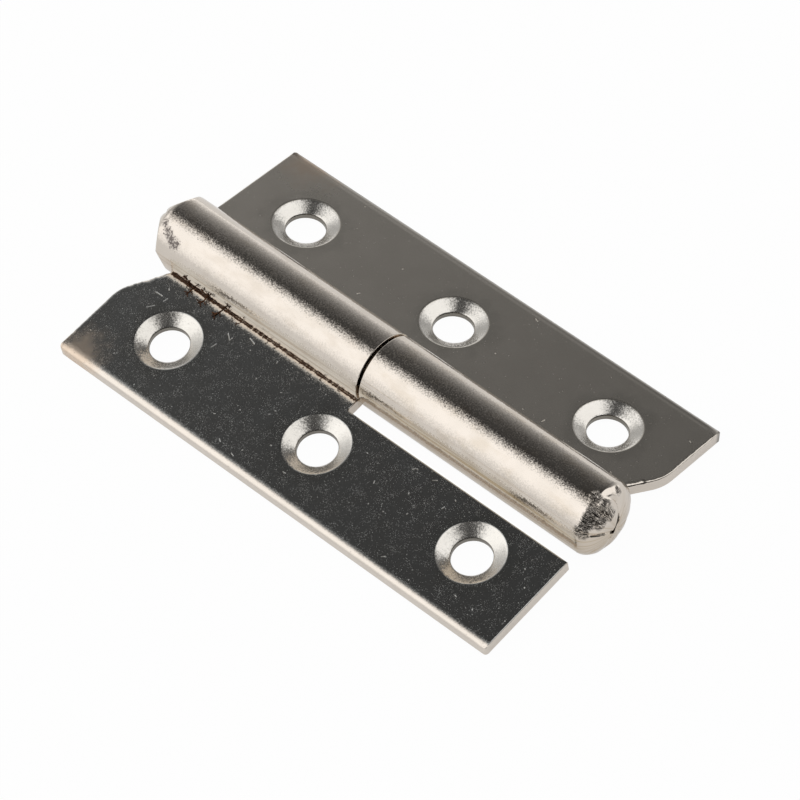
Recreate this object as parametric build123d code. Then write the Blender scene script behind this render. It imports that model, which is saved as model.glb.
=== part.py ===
from build123d import *
import math
import os

# Loose-joint butt hinge: two punched and rolled steel leaves and the round pin that they turn on.
# Millimetres, +Z up, the pin along Y. The hinge lies as it rests on a table, on the underside of its barrel
# and on its two lower outer edges. The origin is on the table, below the middle of the pin.

# Sheet and leaves
SHEET = 1.4
LEAF_LENGTH = 60.0
LEAF_REACH = 18.4
CORNER_ROUND = 0.4
ROLLED_EDGE_WIDTH = 1.2
ROLLED_EDGE_DEPTH = 0.45
SLOT_CLEARANCE = 1.45
SLOT_CORNER_ROUND = 0.3

# End of a leaf beside its own knuckle, cut away at a slant
RELIEF_REACH = 9.15
RELIEF_ANGLE = 31.0
RELIEF_ROUND = 5.0

# Barrel: the sheet dips under the leaf, runs round the pin and ends above the leaf
PIN_DIAMETER = 5.6
PIN_CLEARANCE = 0.05
AXIS_HEIGHT = 2.2
BEND_ROUND = 0.3
SEAM_GAP = 0.15
KNUCKLE_GAP = 0.4

# Outer end of a knuckle, crimped shut
DOME_RISE = 2.25
DOME_OVERHANG = 1.3
CRIMP_HOLE_DIAMETER = 0.6
CREASE_ANGLES = (82.0, 192.0, 262.0)
CREASE_WIDTH = 0.3
CREASE_DEPTH = 0.3

# Screw holes, in one row on each leaf
HOLE_REACH = 10.8
HOLE_PITCH = 21.3
HOLE_COUNT = 3
HOLE_DIAMETER = 4.4
HOLE_LAND = 0.55
COUNTERSINK_DIAMETER = 7.4

# Pin
PIN_ENGAGEMENT = 24.0
PIN_END_GAP = 0.3
PIN_CHAMFER = 0.6

# Barrel sizes that follow from the pin and the sheet
BORE_RADIUS = PIN_DIAMETER / 2 + PIN_CLEARANCE
BARREL_RADIUS = BORE_RADIUS + SHEET
CUT_BACK_REACH = BARREL_RADIUS + SLOT_CLEARANCE

# Heights in a leaf's own frame, which has the pin's axis as its Y axis and the leaf level on the +X side
LEAF_BOTTOM = -AXIS_HEIGHT
LEAF_TOP = SHEET - AXIS_HEIGHT
BEND_REACH = math.sqrt((BARREL_RADIUS + BEND_ROUND) ** 2 - (AXIS_HEIGHT + BEND_ROUND) ** 2)
BEND_ANGLE = math.degrees(math.atan2(LEAF_BOTTOM - BEND_ROUND, BEND_REACH))
SEAM_ANGLE = math.degrees(math.asin((LEAF_TOP + SEAM_GAP) / BARREL_RADIUS))

# Places along the pin for the leaf on the +X side, whose knuckle is on the -Y half
KNUCKLE_INNER_END = -KNUCKLE_GAP / 2
FREE_END = LEAF_LENGTH / 2 - KNUCKLE_GAP / 2
KNUCKLE_END = -LEAF_LENGTH / 2 - KNUCKLE_GAP / 2
ROOT_END = KNUCKLE_END + (RELIEF_REACH - BEND_REACH) * math.tan(math.radians(RELIEF_ANGLE))
DOME_TIP = KNUCKLE_END - DOME_OVERHANG
DOME_START = DOME_TIP + DOME_RISE

# Both outer edges and the barrel touch the table, which sets how far each leaf tilts
REST_TILT = math.degrees(
    math.asin(BARREL_RADIUS / math.hypot(LEAF_REACH, AXIS_HEIGHT)) - math.atan2(AXIS_HEIGHT, LEAF_REACH)
)


def polar(radius, degrees):
    """Point at a radius and an angle around the pin's axis, in a section across it."""
    return radius * math.cos(math.radians(degrees)), radius * math.sin(math.radians(degrees))


def rolled_section():
    """Section of the dip under the leaf and the roll round the pin, from the leaf's edge to the seam."""
    bend_centre = (BEND_REACH, LEAF_BOTTOM - BEND_ROUND)
    bend_sweep = 90 + BEND_ANGLE
    roll_sweep = 360 + BEND_ANGLE - SEAM_ANGLE
    with BuildSketch(Plane.XZ.offset(-KNUCKLE_INNER_END)) as section:
        with BuildLine():
            Line((BEND_REACH, LEAF_BOTTOM), (BEND_REACH, LEAF_TOP))
            CenterArc(bend_centre, BEND_ROUND + SHEET, 90, bend_sweep)
            CenterArc((0, 0), BORE_RADIUS, SEAM_ANGLE, roll_sweep)
            Line(polar(BORE_RADIUS, SEAM_ANGLE), polar(BARREL_RADIUS, SEAM_ANGLE))
            CenterArc((0, 0), BARREL_RADIUS, SEAM_ANGLE, roll_sweep)
            CenterArc(bend_centre, BEND_ROUND, 90, bend_sweep)
        make_face()
    return section.sketch


def leaf_plate():
    """Flat leaf, cut back beside the other leaf's knuckle and slanted at the end of its own."""
    corners = [
        (BEND_REACH, KNUCKLE_INNER_END),
        (CUT_BACK_REACH, KNUCKLE_INNER_END),
        (CUT_BACK_REACH, FREE_END),
        (LEAF_REACH, FREE_END),
        (LEAF_REACH, KNUCKLE_END),
        (RELIEF_REACH, KNUCKLE_END),
        (BEND_REACH, ROOT_END),
    ]
    with BuildSketch(Plane.XY.offset(LEAF_BOTTOM)) as outline:
        with BuildLine():
            Polyline(*corners, close=True)
        make_face()
        fillet(outline.vertices().sort_by_distance(corners[1])[0], SLOT_CORNER_ROUND)
        for corner in corners[3:5]:
            fillet(outline.vertices().sort_by_distance(corner)[0], CORNER_ROUND)
        fillet(outline.vertices().sort_by_distance(corners[5])[0], RELIEF_ROUND)
    return extrude(outline.sketch, SHEET) - rolled_edge_waste()


def rolled_edge_waste():
    """Strip missing along the upper outer edge, where the punch pulled the sheet down into an oval round."""
    inner_reach = LEAF_REACH - ROLLED_EDGE_WIDTH
    lower = LEAF_TOP - ROLLED_EDGE_DEPTH
    with BuildSketch(Plane.XZ.offset(-FREE_END)) as waste:
        with BuildLine():
            Line((inner_reach, LEAF_TOP), (LEAF_REACH, LEAF_TOP))
            Line((LEAF_REACH, LEAF_TOP), (LEAF_REACH, lower))
            EllipticalCenterArc((inner_reach, lower), ROLLED_EDGE_WIDTH, ROLLED_EDGE_DEPTH, 0, arc_size=90)
        make_face()
    return extrude(waste.sketch, LEAF_LENGTH)


def dome_profile(radius, rise):
    """Half section of a rounded end that starts at the dome's foot and closes on the axis."""
    with BuildSketch(Plane.XY) as profile:
        with BuildLine():
            Line((0, ROOT_END), (radius, ROOT_END))
            Line((radius, ROOT_END), (radius, DOME_START))
            EllipticalCenterArc((0, DOME_START), radius, rise, 270, arc_size=90)
            Line((0, DOME_START - rise), (0, ROOT_END))
        make_face()
    return revolve(profile.sketch, Axis.Y)


def crimped_end():
    """Closed outer end of a knuckle, with the creases where the sheet was folded in and the hole left over."""
    end = dome_profile(BARREL_RADIUS, DOME_RISE) - dome_profile(BORE_RADIUS, DOME_RISE - SHEET)
    skin_foot = BARREL_RADIUS - CREASE_DEPTH
    below_skin = dome_profile(skin_foot, DOME_RISE - CREASE_DEPTH)
    dome_length = DOME_START - DOME_TIP
    for angle in CREASE_ANGLES:
        slab = Box(
            BARREL_RADIUS, dome_length, CREASE_WIDTH, align=(Align.MIN, Align.MAX, Align.CENTER)
        ).moved(Location((0, DOME_START, 0)))
        end -= Rot(0, -angle, 0) * slab - below_skin
    hole = Cylinder(CRIMP_HOLE_DIAMETER / 2, dome_length, rotation=(90, 0, 0))
    return end - hole.moved(Location((0, DOME_TIP + dome_length / 2, 0)))


def screw_holes():
    """Countersunk screw holes of one leaf, as the solids to cut away."""
    sink_depth = SHEET - HOLE_LAND
    through = Cylinder(HOLE_DIAMETER / 2, SHEET, align=(Align.CENTER, Align.CENTER, Align.MIN))
    cone = Cone(
        HOLE_DIAMETER / 2, COUNTERSINK_DIAMETER / 2, sink_depth, align=(Align.CENTER, Align.CENTER, Align.MIN)
    )
    hole = through + cone.moved(Location((0, 0, HOLE_LAND)))
    first = -HOLE_PITCH * (HOLE_COUNT - 1) / 2
    return [
        hole.moved(Location((HOLE_REACH, first + HOLE_PITCH * index, LEAF_BOTTOM)))
        for index in range(HOLE_COUNT)
    ]


def leaf():
    """One leaf with its knuckle, tilted and lifted to the way it rests, on the +X side."""
    roll = extrude(rolled_section(), KNUCKLE_INNER_END - ROOT_END)
    body = leaf_plate() + roll + crimped_end()
    for hole in screw_holes():
        body -= hole
    return Location((0, 0, BARREL_RADIUS)) * Rot(0, REST_TILT, 0) * body


def hinge_pin():
    """Round pin, seated at the closed end of the fixed knuckle and standing out into the lifting one."""
    seat = -DOME_START - PIN_END_GAP
    length = seat + PIN_ENGAGEMENT
    rod = Cylinder(PIN_DIAMETER / 2, length, rotation=(90, 0, 0))
    rod = chamfer(rod.edges().filter_by(GeomType.CIRCLE), PIN_CHAMFER)
    return rod.moved(Location((0, seat - length / 2, BARREL_RADIUS)))


lifting_leaf = leaf()
fixed_leaf = Rot(0, 0, 180) * lifting_leaf

os.makedirs("parts", exist_ok=True)
export_step(fixed_leaf, "parts/fixed_leaf.step")
export_step(lifting_leaf, "parts/lifting_leaf.step")
export_step(hinge_pin(), "parts/hinge_pin.step")
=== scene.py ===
"""Looks of the loose-joint butt hinge: two punched, rolled and nickel-plated leaves on a round pin.

Blender works in metres. The sizes of the classes below are in millimetres, in a leaf's own frame: the pin's
axis is its Y axis, the leaf lies level on the +X side and its knuckle is on the -Y half.
"""
import logging
import math
from dataclasses import dataclass
from enum import Enum
from functools import reduce

import bmesh
import bpy
from mathutils import Matrix, Vector, geometry, noise


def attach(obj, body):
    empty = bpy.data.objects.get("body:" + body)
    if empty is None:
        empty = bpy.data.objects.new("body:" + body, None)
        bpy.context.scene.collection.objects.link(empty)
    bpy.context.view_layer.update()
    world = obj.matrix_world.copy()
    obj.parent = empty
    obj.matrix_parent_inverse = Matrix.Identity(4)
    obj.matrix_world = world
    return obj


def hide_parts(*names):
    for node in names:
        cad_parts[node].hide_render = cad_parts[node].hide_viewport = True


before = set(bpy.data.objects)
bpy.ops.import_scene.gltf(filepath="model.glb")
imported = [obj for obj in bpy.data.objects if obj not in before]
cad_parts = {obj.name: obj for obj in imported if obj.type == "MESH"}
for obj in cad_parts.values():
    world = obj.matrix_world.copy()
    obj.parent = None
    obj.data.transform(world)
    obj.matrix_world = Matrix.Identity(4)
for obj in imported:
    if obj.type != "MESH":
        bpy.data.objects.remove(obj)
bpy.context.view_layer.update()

log = logging.getLogger("hinge")

Colour = tuple[float, float, float]
Pair = tuple[float, float]
Triple = tuple[float, float, float]
Socket = bpy.types.NodeSocket
Value = Socket | float | tuple
Rise = tuple[float, ...]
Range = tuple[Triple, Triple]

MILLIMETRE = 0.001
FULL_TURN = 2 * math.pi
RIGHT_ANGLE = math.pi / 2
BEND_CHORDS = 8
FAR_FROM_SEAM = 99.0


class LeafSide(Enum):
    """Which of the two leaves a mesh or a finish belongs to, by the name of its body and its CAD node."""

    FIXED = "fixed_leaf"
    LIFTING = "lifting_leaf"


class ScuffKind(Enum):
    """How a dull patch of a crimped end looks, its darkness partly scuff and partly painted shade: dark with
    bright needles, or pale with dark specks.
    """

    NEEDLES = "needles"
    SPECKS = "specks"


class Slot(Enum):
    """Material slots of the record."""

    PLATE = "nickel_plate"
    PIN = "pin_steel"


def oval_steps(count: int) -> list[Pair]:
    """Quarter of an oval edge from its face to the flat, as shares of its width and of its depth."""
    return [(1 - math.cos(angle), 1 - math.sin(angle)) for angle in spread(0, RIGHT_ANGLE, count)]


def spread(first: float, last: float, count: int) -> list[float]:
    """Evenly spaced values from the first to the last, with the given number of steps between them."""
    return [first + (last - first) * step / count for step in range(count + 1)]


def smooth_step(low: float, high: float, value: float) -> float:
    """Smooth rise from 0 at the low value to 1 at the high one."""
    share = min(1.0, max(0.0, (value - low) / (high - low)))
    return share * share * (3 - 2 * share)


def around(radius: float, angle: float, along: float = 0.0, height: float = 0.0) -> Vector:
    """Point round the pin's axis, which lies at a height."""
    return Vector((radius * math.cos(angle), along, height + radius * math.sin(angle)))


class SheetMesh:
    """Collects the points and faces of one closed piece."""

    def __init__(self) -> None:
        """Starts with no points and no faces."""
        self.points: list[Vector] = []
        self.faces: list[tuple[int, ...]] = []

    def row(self, points: list[Vector]) -> list[int]:
        """Adds a row of points.

        Args:
            points: their places.

        Returns:
            Their numbers.
        """
        first = len(self.points)
        self.points.extend(points)
        return list(range(first, len(self.points)))

    def strip(self, one: list[int], other: list[int], closed: bool = False) -> None:
        """Joins two rows of the same length with four-sided faces.

        Args:
            one: numbers of the first row.
            other: numbers of the second row.
            closed: whether the rows run round and meet.
        """
        pairs = list(zip(one, other))
        if closed:
            pairs.append(pairs[0])
        for (a, b), (d, c) in zip(pairs, pairs[1:]):
            self.faces.append((a, b, c, d))

    def skin(self, rows: list[list[int]], closed: bool = False) -> None:
        """Joins each row to the next one, round and closed if asked."""
        for one, other in zip(rows, rows[1:]):
            self.strip(one, other, closed)

    def flat(self, loops: list[list[int]]) -> None:
        """Fills a level outline that may have holes.

        Args:
            loops: numbers of the outline's points, then those of each hole.
        """
        numbers = [number for loop in loops for number in loop]
        outlines = [[self.points[i].xy.to_3d() for i in loop] for loop in loops]
        for corners in geometry.tessellate_polygon(outlines):
            self.faces.append(tuple(numbers[corner] for corner in corners))

    def without_repeats(self, loop: list[int]) -> list[int]:
        """Drops the points of a loop that lie on the point before.

        Args:
            loop: numbers of the loop's points.

        Returns:
            The numbers that are left.
        """
        kept: list[int] = []
        for number in loop:
            if not kept or (self.points[number] - self.points[kept[-1]]).length > 0.003:
                kept.append(number)
        return kept

    def mesh(self, name: str, place: Matrix, sharp: float) -> bpy.types.Mesh:
        """Makes the Blender mesh.

        Args:
            name: name of the mesh.
            place: turns the points into the row frame, in metres.
            sharp: angle in degrees past which an edge between two faces stays sharp.

        Returns:
            The closed mesh, with its faces outwards and smooth.
        """
        work = bmesh.new()
        corners = [work.verts.new(point) for point in self.points]
        for face in self.faces:
            if len({tuple(round(value, 5) for value in self.points[i]) for i in face}) > 2:
                work.faces.new([corners[i] for i in face])
        loose = [corner for corner in corners if not corner.link_faces]
        bmesh.ops.delete(work, geom=loose, context="VERTS")
        bmesh.ops.remove_doubles(work, verts=work.verts, dist=0.002)
        bmesh.ops.dissolve_degenerate(work, edges=work.edges, dist=0.0005)
        bmesh.ops.recalc_face_normals(work, faces=work.faces)
        open_edges = sum(1 for edge in work.edges if len(edge.link_faces) != 2)
        if open_edges:
            log.warning("%s has %d open edges", name, open_edges)
        bmesh.ops.transform(work, matrix=place, verts=work.verts)
        result = bpy.data.meshes.new(name)
        work.to_mesh(result)
        work.free()
        result.polygons.foreach_set("use_smooth", [True] * len(result.polygons))
        result.set_sharp_from_angle(angle=math.radians(sharp))
        return result


def add_object(
    name: str, mesh: bpy.types.Mesh, material: bpy.types.Material | None = None
) -> bpy.types.Object:
    """Puts a mesh that is already in place into the scene, with its finish.

    Args:
        name: name of the object.
        mesh: its mesh.
        material: its finish, or None for a mesh that only carries nodes.

    Returns:
        The object.
    """
    piece = bpy.data.objects.new(name, mesh)
    bpy.context.scene.collection.objects.link(piece)
    if material is not None:
        mesh.materials.clear()
        mesh.materials.append(material)
    return piece


@dataclass(frozen=True)
class EdgePoint:
    """Point on the cut edge of a leaf, seen from above.

    Its oval edge starts at the place, reaches the flat at the next point and has a depth. The inset lies
    a little further in.
    """

    place: Pair
    flat: Pair
    inset: Pair
    depth: float


@dataclass(frozen=True)
class Crease:
    """One fold line of a crimped knuckle end.

    Angles are in degrees: round the axis at the foot and at the tip of the dome.
    """

    foot_angle: float
    tip_angle: float
    depth: float
    width: float


@dataclass(frozen=True)
class Facet:
    """Flat that the crimping tool pressed into a dome, with its outward direction and its depth.

    Angles are in degrees: round the axis, and from the foot of the dome to its tip.
    """

    angle: float
    slope: float
    direction: Triple
    depth: float


@dataclass(frozen=True)
class Scuff:
    """Patch of a crimped end that the tool dragged over, partly painted shade, by its middle in the leaf's
    frame and its radius.
    """

    middle: Triple
    radius: float


@dataclass
class RolledLeaf:
    """One punched leaf, rolled at its inner edge into a knuckle whose outer end is crimped shut.

    On the dome, an angle runs round the pin and a slope from 0 at the foot to a right angle at the tip.
    """

    side: LeafSide
    creases: tuple[Crease, ...]
    facets: tuple[Facet, ...]
    scuffs: tuple[Scuff, ...]
    slit_angle: float
    tip_shift: Pair = (0.0, 0.0)
    seed: float = 0.0
    sheet: float = 1.4
    length: float = 60.0
    reach: float = 18.4
    corner_round: float = 0.4
    rolled_edge_width: float = 1.05
    rolled_edge_depth: float = 0.45
    slot_clearance: float = 1.45
    slot_round: float = 0.3
    relief_reach: float = 9.15
    relief_angle: float = 31.0
    relief_round: float = 5.0
    bore_radius: float = 2.85
    axis_height: float = 2.2
    bend_round: float = 0.3
    flat_start: float = 0.2
    seam_gap: float = 0.08
    seam_offset: float = 0.06
    seam_break_width: float = 0.2
    seam_break_depth: float = 0.08
    knuckle_gap: float = 0.4
    dome_rise: float = 2.25
    dome_overhang: float = 1.3
    dent_depth: float = 0.09
    press_share: float = 0.94
    slit_stretch: Pair = (0.7, 0.35)
    slit_rise: Pair = (1.28, 1.5)
    scuff_depth: float = 0.16
    hole_reach: float = 10.8
    hole_pitch: float = 21.3
    hole_radius: float = 2.2
    hole_land: float = 0.55
    sink_radius: float = 3.7
    crimp_hole_radius: float = 0.3
    break_width: float = 0.16
    break_depth: float = 0.1
    torn_width: float = 2.2
    torn_depth: float = 2.0
    joint_break: float = 0.5
    support: float = 0.06

    def __post_init__(self) -> None:
        """Works out the sizes that follow from the others."""
        self.barrel_radius = self.bore_radius + self.sheet
        self.under = -self.axis_height
        self.upper = self.sheet - self.axis_height
        drop = self.axis_height + self.bend_round
        self.bend_reach = math.sqrt((self.barrel_radius + self.bend_round) ** 2 - drop**2)
        self.bend_angle = math.atan2(-drop, self.bend_reach)
        self.seam_angle = math.asin((self.upper + self.seam_gap) / self.barrel_radius)
        self.cut_reach = self.barrel_radius + self.slot_clearance
        self.seam_reach = self.barrel_radius + self.seam_offset
        self.rim_reach = self.reach - self.rolled_edge_width
        self.inner_end = -self.knuckle_gap / 2
        self.free_end = self.length / 2 - self.knuckle_gap / 2
        self.knuckle_end = -self.length / 2 - self.knuckle_gap / 2
        self.slope = math.tan(math.radians(self.relief_angle))
        self.root_end = self.knuckle_end + (self.relief_reach - self.bend_reach) * self.slope
        self.dome_start = self.knuckle_end - self.dome_overhang + self.dome_rise
        lean = math.asin(self.barrel_radius / math.hypot(self.reach, self.axis_height))
        self.rest_tilt = lean - math.atan2(self.axis_height, self.reach)
        self.steps = oval_steps(4)
        self.inner_reach = self.bend_reach + self.flat_start

    def place(self) -> Matrix:
        """Way from the leaf's frame to the row frame.

        Returns:
            Matrix that takes millimetres to metres.
        """
        half_turn = math.pi if self.side is LeafSide.FIXED else 0.0
        return (
            Matrix.Scale(MILLIMETRE, 4)
            @ Matrix.Rotation(half_turn, 4, "Z")
            @ Matrix.Translation((0, 0, self.barrel_radius))
            @ Matrix.Rotation(self.rest_tilt, 4, "Y")
        )

    def stations(self) -> list[tuple[Vector, Vector, float, float]]:
        """Section of the rolled sheet from the leaf's flat to the seam.

        Returns:
            At each station the point on the under or outer side, the point on the upper or inner side,
            how far the sheet has turned from leaf (1) to roll (0), and the distance to the seam.
        """
        first = [Vector((self.inner_reach, 0, height)) for height in (self.under, self.upper)]
        result = [(*first, 1.0, FAR_FROM_SEAM)]
        centre = Vector((self.bend_reach, 0, self.under - self.bend_round))
        for share in spread(0, 1, BEND_CHORDS):
            angle = RIGHT_ANGLE + share * (RIGHT_ANGLE + self.bend_angle)
            radii = (self.bend_round, self.bend_round + self.sheet)
            result.append((*(centre + around(radius, angle) for radius in radii), 1 - share, FAR_FROM_SEAM))
        for angle in self.roll_angles()[1:]:
            left = (angle - self.seam_angle + FULL_TURN) * self.barrel_radius
            result.append((around(self.barrel_radius, angle), around(self.bore_radius, angle), 0.0, left))
        return result

    def roll_angles(self) -> list[float]:
        """Angles round the pin over which the sheet is rolled.

        Returns:
            Angles from the start of the roll to the seam, closer together at the seam's edge.
        """
        end = self.seam_angle - FULL_TURN
        close = (0.3, 0.22, 0.15, 0.09, 0.045, 0.015, 0.0)
        even = spread(self.bend_angle, end + 0.4 / self.barrel_radius, 150)
        return even + [end + gap / self.barrel_radius for gap in close]

    def gap_angles(self) -> list[float]:
        """Angles that close the ring past the seam, where the crimped end has no gap."""
        return spread(self.seam_angle - FULL_TURN, self.bend_angle - FULL_TURN, 10)

    def knuckle_rows(self) -> list[Triple]:
        """Places along the knuckle.

        Returns:
            At each place the distance along the pin, how far the inner end's edge is broken there,
            and how far the slanted end's edge is.
        """
        steps = self.steps + [(1 + self.support / self.break_width, 0.0)]
        broken = [(self.break_width * wide, self.break_depth * deep) for wide, deep in steps]
        inner = [(self.inner_end - wide, deep, 0.0) for wide, deep in broken]
        outer = [(self.root_end + wide, 0.0, deep) for wide, deep in broken]
        middle = [(along, 0.0, 0.0) for along in spread(inner[-1][0], outer[-1][0], 44)[1:-1]]
        return inner + middle + outer[::-1]

    def build_knuckle(self, sheet: SheetMesh) -> tuple[list[int], list[int]]:
        """Adds the bend, the roll and the crimped end.

        Args:
            sheet: mesh that gets them.

        Returns:
            Points of the upper and under sides along the line where the flat leaf starts.
        """
        stations = self.stations()
        rows = self.knuckle_rows()
        broken = len(self.steps)
        groups: tuple[list, ...] = ([], [], [])
        for number, (along, inner_break, outer_break) in enumerate(rows):
            open_seam = smooth_step(self.root_end, self.root_end + 0.6, along)
            skewed = self.flat_start * self.slope * smooth_step(broken + 1, len(rows) - broken - 3, number)
            sides: tuple[list, ...] = ([], [], [])
            for place, (under, upper, turned, left) in enumerate(stations):
                near = 1 - min(left, self.seam_break_width) / self.seam_break_width
                seam = self.seam_break_depth * (1 - math.sqrt(1 - near**2)) * open_seam
                crisp = turned + (1 - turned) * self.joint_break
                low = inner_break * crisp * (1 - turned) + seam
                high = (inner_break * crisp + outer_break) * turned
                y = along
                if number <= broken:
                    y = self.inner_end + (along - self.inner_end) * crisp
                if place == 0:
                    y -= skewed
                below, above = [Vector((point.x, y, point.z)) for point in (under, upper)]
                sides[0].append(below.lerp(above, low / self.sheet))
                sides[1].append(above.lerp(below, (high + self.support) / self.sheet))
                sides[2].append(above.lerp(below, high / self.sheet))
            for group, side in zip(groups, sides):
                group.append(sheet.row(side))
        outer_rows, _, inner_rows = groups
        sheet.skin(outer_rows)
        sheet.skin(inner_rows)
        sheet.skin([[row[-1] for row in group] for group in groups])
        sheet.skin([group[0] for group in groups])
        sheet.skin([group[-1][: BEND_CHORDS + 2] for group in groups])
        self.build_crimped_end(sheet)
        return [row[0] for row in inner_rows], [row[0] for row in outer_rows]

    def build_crimped_end(self, sheet: SheetMesh) -> None:
        """Adds the closed ring past the seam and the dome that it was folded into.

        Args:
            sheet: mesh that gets them.
        """
        gap = self.gap_angles()
        angles = self.roll_angles() + gap[1:-1]
        last = math.acos(self.crimp_hole_radius / self.barrel_radius)
        slopes = spread(0, last * 0.75, 34) + spread(last * 0.75, last, 20)[1:]
        collar = spread(self.root_end, self.dome_start, 10)[:-1]
        outside = [[self.flattened(around(self.barrel_radius, angle, y)) for angle in angles] for y in collar]
        outside += [[self.dome_point(angle, slope) for angle in angles] for slope in slopes]
        inside = [[around(self.bore_radius, angle, y) for angle in angles] for y in collar]
        for slope in slopes:
            radius = self.bore_radius * math.cos(slope)
            y = self.dome_start - (self.dome_rise - self.sheet) * math.sin(slope)
            ring = [around(radius, angle, y) + self.tip_drift(slope) for angle in angles]
            inside.append([self.slit(point, slope) for point in ring])
        outer_rows, inner_rows = [[sheet.row(ring) for ring in rings] for rings in (outside, inside)]
        sheet.skin(outer_rows, closed=True)
        sheet.skin(inner_rows, closed=True)
        sheet.strip(outer_rows[-1], inner_rows[-1], closed=True)
        radii = (self.barrel_radius, self.bore_radius + self.support, self.bore_radius)
        sheet.skin([sheet.row([around(radius, angle, self.root_end) for angle in gap]) for radius in radii])

    def tip_drift(self, slope: float) -> Vector:
        """How far the dome leans off the axis at a slope."""
        return Vector((self.tip_shift[0], 0, self.tip_shift[1])) * math.sin(slope) ** 1.6

    def plain_dome(self, angle: float, slope: float) -> Vector:
        """Point on the dome before the crimping marked it."""
        along = self.dome_start - self.dome_rise * math.sin(slope)
        return around(self.barrel_radius * math.cos(slope), angle, along) + self.tip_drift(slope)

    def flattened(self, point: Vector) -> Vector:
        """Moves a point in to the flats that the crimping tool pressed.

        Args:
            point: point on the outside of the knuckle.

        Returns:
            The moved point.
        """
        for facet in self.facets:
            face = Vector(facet.direction).normalized()
            middle = self.plain_dome(math.radians(facet.angle), math.radians(facet.slope))
            over = (point - middle).dot(face) + facet.depth
            if over > 0:
                point = point - face * over * self.press_share
        return point

    def dome_point(self, angle: float, slope: float) -> Vector:
        """Point on the outside of the dome, on the plain dome or pressed in by the crimping.

        Args:
            angle: angle round the pin.
            slope: slope on the dome.

        Returns:
            The point.
        """
        point = self.plain_dome(angle, slope)
        normal = around(math.cos(slope) / self.barrel_radius, angle, -math.sin(slope) / self.dome_rise)
        normal.normalize()
        press = self.crease_depth(angle, slope)
        dent = noise.noise(point * 1.1 + Vector((self.seed, 0, 0))) * 0.5 + 0.5
        press += self.dent_depth * dent * smooth_step(0.05, 0.5, slope) * smooth_step(1.5, 1.2, slope)
        rough = noise.noise(Vector((point.x * 2.4, point.y * 2.0, point.z * 2.4 + self.seed)))
        for scuff in self.scuffs:
            near = smooth_step(scuff.radius, scuff.radius * 0.5, (point - Vector(scuff.middle)).length)
            press += self.scuff_depth * near * max(0.0, rough) * smooth_step(0.0, 0.2, slope)
        return self.slit(self.flattened(point - normal * press), slope)

    def slit(self, point: Vector, slope: float) -> Vector:
        """Draws the hole at the tip of the dome out into the slanted slit that the folded sheet leaves.

        Args:
            point: point on the dome.
            slope: its slope.

        Returns:
            The point, moved within its plane across the pin.
        """
        turn = math.radians(self.slit_angle)
        long, short = around(1.0, turn), around(1.0, turn + RIGHT_ANGLE)
        off = point - self.plain_dome(0.0, RIGHT_ANGLE)
        stretch, squeeze = self.slit_stretch
        shift = long * off.dot(long) * stretch - short * off.dot(short) * squeeze
        return point + shift * smooth_step(*self.slit_rise, slope)

    def crease_depth(self, angle: float, slope: float) -> float:
        """How deep the fold lines press the dome in at one point.

        Args:
            angle: angle round the pin.
            slope: slope on the dome.

        Returns:
            The depth in millimetres.
        """
        share = slope / RIGHT_ANGLE
        radius = max(self.barrel_radius * math.cos(slope), 0.6)
        fade = smooth_step(0.12, 0.55, share)
        deepest = 0.0
        for crease in self.creases:
            line = math.radians(crease.foot_angle + (crease.tip_angle - crease.foot_angle) * share)
            gap = abs((angle - line + math.pi) % FULL_TURN - math.pi) * radius
            valley = max(0.0, 1 - gap / crease.width) ** 1.4
            hollow = max(0.0, 1 - gap / (crease.width * 5)) ** 2
            deepest = max(deepest, crease.depth * fade * (0.65 * valley + 0.35 * hollow))
        return deepest

    def cut_point(self, x: float, y: float, inwards: Pair, torn: float = 0.0) -> EdgePoint:
        """Point whose edge is broken by the plain width, or by more where the shear tore it.

        Args:
            x: place across the leaf.
            y: place along the pin.
            inwards: direction into the leaf.
            torn: share of the tearing.

        Returns:
            The point.
        """
        width = self.break_width * (1 + self.torn_width * torn)
        flat, inset = [
            (x + inwards[0] * wide, y + inwards[1] * wide) for wide in (width, width + self.support)
        ]
        return EdgePoint((x, y), flat, inset, self.break_depth * (1 + self.torn_depth * torn))

    def cut_edge(self) -> list[EdgePoint]:
        """Edge of the flat leaf.

        Returns:
            Points from the knuckle's inner end round to its slanted end.
        """
        edge = [self.cut_point(self.inner_reach, self.inner_end, (0, -1))]
        for turn in spread(0, RIGHT_ANGLE, 6):
            sine, cosine = math.sin(turn), math.cos(turn)
            x = self.cut_reach - self.slot_round * (1 - sine)
            edge.append(self.cut_point(x, self.inner_end + self.slot_round * (1 - cosine), (sine, -cosine)))
        for y in spread(self.inner_end + 2, self.free_end - 2, 8):
            edge.append(self.cut_point(self.cut_reach, y, (1, 0)))
        edge.append(self.cut_point(self.cut_reach, self.free_end, (1, -1)))
        for x in spread(self.cut_reach + 1, self.rim_reach, 6):
            edge.append(self.cut_point(x, self.free_end, (0, -1)))
        edge += self.rolled_corner(self.free_end, 1)
        for y in spread(self.free_end - 1.5, self.knuckle_end + 1.5, 12):
            flat, inset = (self.rim_reach, y), (self.rim_reach - self.support, y)
            edge.append(EdgePoint((self.reach, y), flat, inset, self.rolled_edge_depth))
        return edge + self.rolled_corner(self.knuckle_end, -1)[::-1] + self.slanted_edge()

    def slanted_edge(self) -> list[EdgePoint]:
        """Torn edge of the end beside the leaf's own knuckle.

        Returns:
            Points from the outer corner along the slant to the knuckle.
        """
        ramp = math.radians(self.relief_angle)
        start = self.relief_reach + self.relief_round * math.tan(ramp / 2)
        last = start - self.relief_round * math.sin(ramp)

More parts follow.
